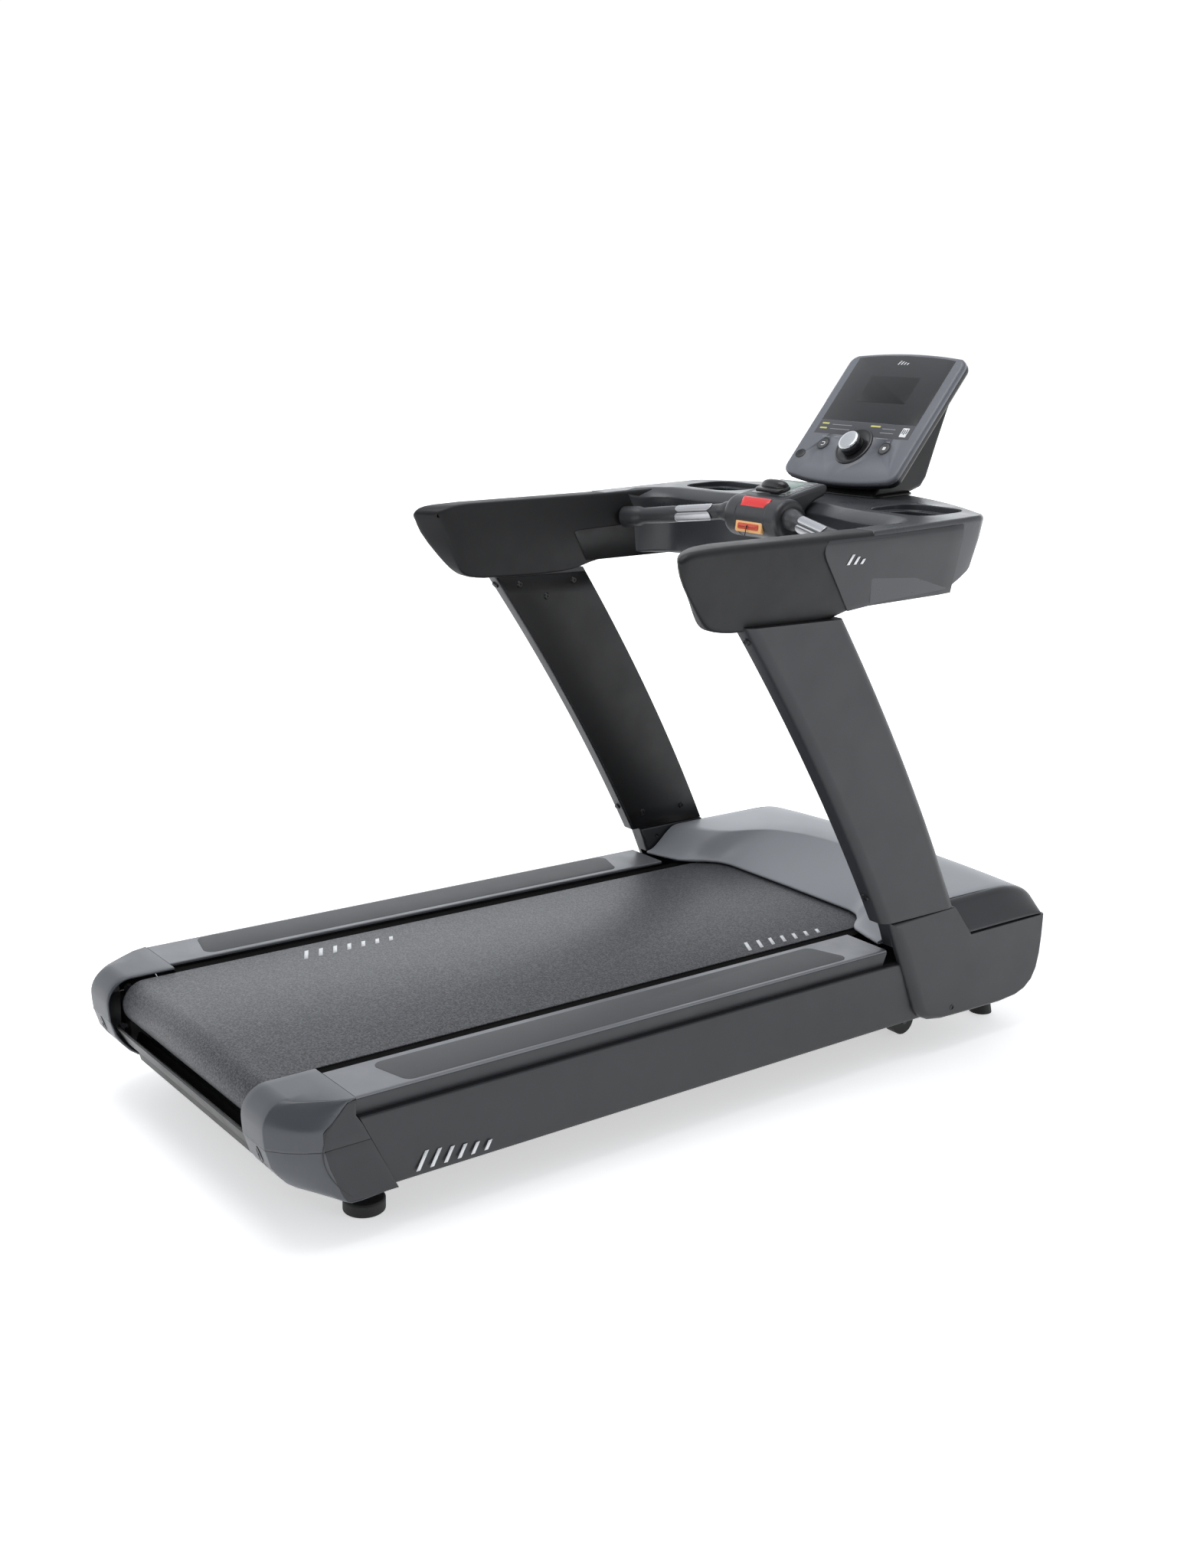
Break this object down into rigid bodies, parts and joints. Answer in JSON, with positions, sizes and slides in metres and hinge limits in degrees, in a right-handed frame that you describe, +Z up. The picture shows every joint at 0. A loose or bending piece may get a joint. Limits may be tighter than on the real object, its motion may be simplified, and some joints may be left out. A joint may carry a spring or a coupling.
{
  "type": "treadmill",
  "caption": "Motor-driven treadmill with a belt bed on rails, leaning side posts, long side arms, cup-holder tray, grip bar with control pod and a tilted console.",
  "frame": {"origin": "centre of the bounding box at the floor", "axes": "+X the user's right, +Y forward to the motor end and the console, +Z up"},
  "size_m": [0.916, 1.9, 1.4787],
  "materials": {
    "frame_paint": "semi-gloss black powder coat",
    "deck_board": "waxed phenolic-faced board",
    "black_rubber": "moulded, matt",
    "belt_surface": "fine orange-peel PVC top",
    "steel": "turned",
    "black_plastic": "fine spark texture",
    "rail_aluminium": "grey satin anodised",
    "grip_texture": "fine gritty texture",
    "graphite_shell": "satin, fine grain",
    "cap_shell": "satin",
    "hood_shell": "satin, fine grain",
    "post_paint": "satin graphite powder coat",
    "charcoal_shell": "satin, fine grain",
    "bolt_black": "black oxide",
    "soft_grip": "soft-touch, matt",
    "tray_shell": "satin, fine grain",
    "bar_rubber": "matt",
    "label_face": "semi-gloss overlay",
    "red_plastic": "gloss",
    "key_plastic": "gloss",
    "console_face": "satin",
    "display_glass": "dark display glass with an anti-glare finish"
  },
  "bodies": {
    "base": {"frame": "frame_paint", "deck": "deck_board", "deck_cushions": "black_rubber", "running_belt": "belt_surface", "drive_axle": "steel", "rear_axle": "steel", "tension_bolts": "steel", "motor": "frame_paint", "drive_belt": "black_rubber", "controller": "black_plastic", "power_inlet": "black_plastic", "lift_motor": "black_plastic", "front_feet": "black_rubber", "rail_left": "rail_aluminium", "rail_right": "rail_aluminium", "grip_pads": "grip_texture", "side_panel_left": "graphite_shell", "side_panel_right": "graphite_shell", "cap_left": "cap_shell", "cap_right": "cap_shell", "cap_base_left": "graphite_shell", "cap_base_right": "graphite_shell", "rear_panel": "black_plastic", "boot_left": "graphite_shell", "boot_right": "graphite_shell", "hood": "hood_shell", "hood_scoop": "hood_shell", "front_panel": "graphite_shell", "post_left": "post_paint", "post_right": "post_paint", "post_cover_left": "charcoal_shell", "post_cover_right": "charcoal_shell", "post_bolts": "bolt_black", "arm_left": "soft_grip", "arm_right": "soft_grip", "arm_panel_left": "graphite_shell", "arm_panel_right": "graphite_shell", "tray": "tray_shell", "grip_bar": "bar_rubber", "pulse_plates": "steel", "pod": "charcoal_shell", "pod_face": "label_face", "console_front": "console_face", "console_back": "black_plastic", "glass": "display_glass", "mast": "charcoal_shell"},
    "drive_roller": {"drive_roller": "steel"},
    "rear_roller": {"rear_roller": "steel"},
    "motor_rotor": {"motor_rotor": "steel"},
    "lift_frame": {"lift_frame": "frame_paint"},
    "lift_wheels": {"lift_wheels": "black_rubber"},
    "lift_rod": {"lift_rod": "steel"},
    "rear_foot_left": {"rear_foot_left": "black_rubber"},
    "rear_foot_right": {"rear_foot_right": "black_rubber"},
    "pod_rocker": {"pod_rocker": "black_plastic"},
    "stop_button": {"stop_button": "red_plastic"},
    "safety_key": {"safety_key": "key_plastic"},
    "dial": {"dial": "steel"},
    "return_key": {"return_key": "black_plastic"},
    "stop_key": {"stop_key": "black_plastic"}
  },
  "joints": [
    {"name": "drive_roller_spin", "type": "hinge", "parent": "base", "child": "drive_roller", "pos_m": [0, 0.61, 0.2169], "axis": [1, 0, 0], "continuous": true},
    {"name": "rear_roller_spin", "type": "hinge", "parent": "base", "child": "rear_roller", "pos_m": [0, -0.878, 0.2169], "axis": [1, 0, 0], "continuous": true},
    {"name": "motor_spin", "type": "hinge", "parent": "base", "child": "motor_rotor", "pos_m": [0, 0.772, 0.234], "axis": [1, 0, 0], "continuous": true},
    {"name": "lift_pivot", "type": "hinge", "parent": "base", "child": "lift_frame", "pos_m": [0, 0.85, 0.1039], "axis": [1, 0, 0], "range_deg": [0, 35]},
    {"name": "lift_screw", "type": "slide", "parent": "base", "child": "lift_rod", "axis": [0, 1, 0], "range_m": [-0.026, 0]},
    {"name": "lift_wheel_spin", "type": "hinge", "parent": "lift_frame", "child": "lift_wheels", "pos_m": [0, 0.633, 0.032], "axis": [1, 0, 0], "continuous": true},
    {"name": "rear_foot_left_turn", "type": "hinge", "parent": "base", "child": "rear_foot_left", "pos_m": [-0.337, -0.742, 0], "axis": [0, 0, 1], "continuous": true},
    {"name": "rear_foot_right_turn", "type": "hinge", "parent": "base", "child": "rear_foot_right", "pos_m": [0.337, -0.742, 0], "axis": [0, 0, 1], "continuous": true},
    {"name": "pod_rocker_tilt", "type": "hinge", "parent": "base", "child": "pod_rocker", "pos_m": [0, 0.47115, 1.18134], "axis": [1, 0, 0], "range_deg": [-10, 10], "stiffness_Nm_per_rad": 0.6},
    {"name": "stop_button_press", "type": "slide", "parent": "base", "child": "stop_button", "axis": [0, 0.9272, -0.3746], "range_m": [0, 0.0025], "stiffness_N_per_m": 600, "springref_m": -0.002},
    {"name": "safety_key_pull", "type": "slide", "parent": "base", "child": "safety_key", "axis": [0, -0.9994, 0.0349], "range_m": [0, 0.04]},
    {"name": "dial_turn", "type": "hinge", "parent": "base", "child": "dial", "pos_m": [0, 0.70429, 1.27485], "axis": [0, -0.7749, 0.632], "continuous": true},
    {"name": "return_key_press", "type": "slide", "parent": "base", "child": "return_key", "axis": [0, 0.7749, -0.632], "range_m": [0, 0.0015], "stiffness_N_per_m": 500, "springref_m": -0.0015},
    {"name": "stop_key_press", "type": "slide", "parent": "base", "child": "stop_key", "axis": [0, 0.7749, -0.632], "range_m": [0, 0.0015], "stiffness_N_per_m": 500, "springref_m": -0.0015}
  ],
  "couplings": [
    {"joint": "rear_roller_spin", "follows": "drive_roller_spin", "ratio": 1},
    {"joint": "motor_spin", "follows": "drive_roller_spin", "ratio": 2.4762},
    {"joint": "lift_screw", "follows": "lift_pivot", "m_per_rad": -0.038}
  ]
}
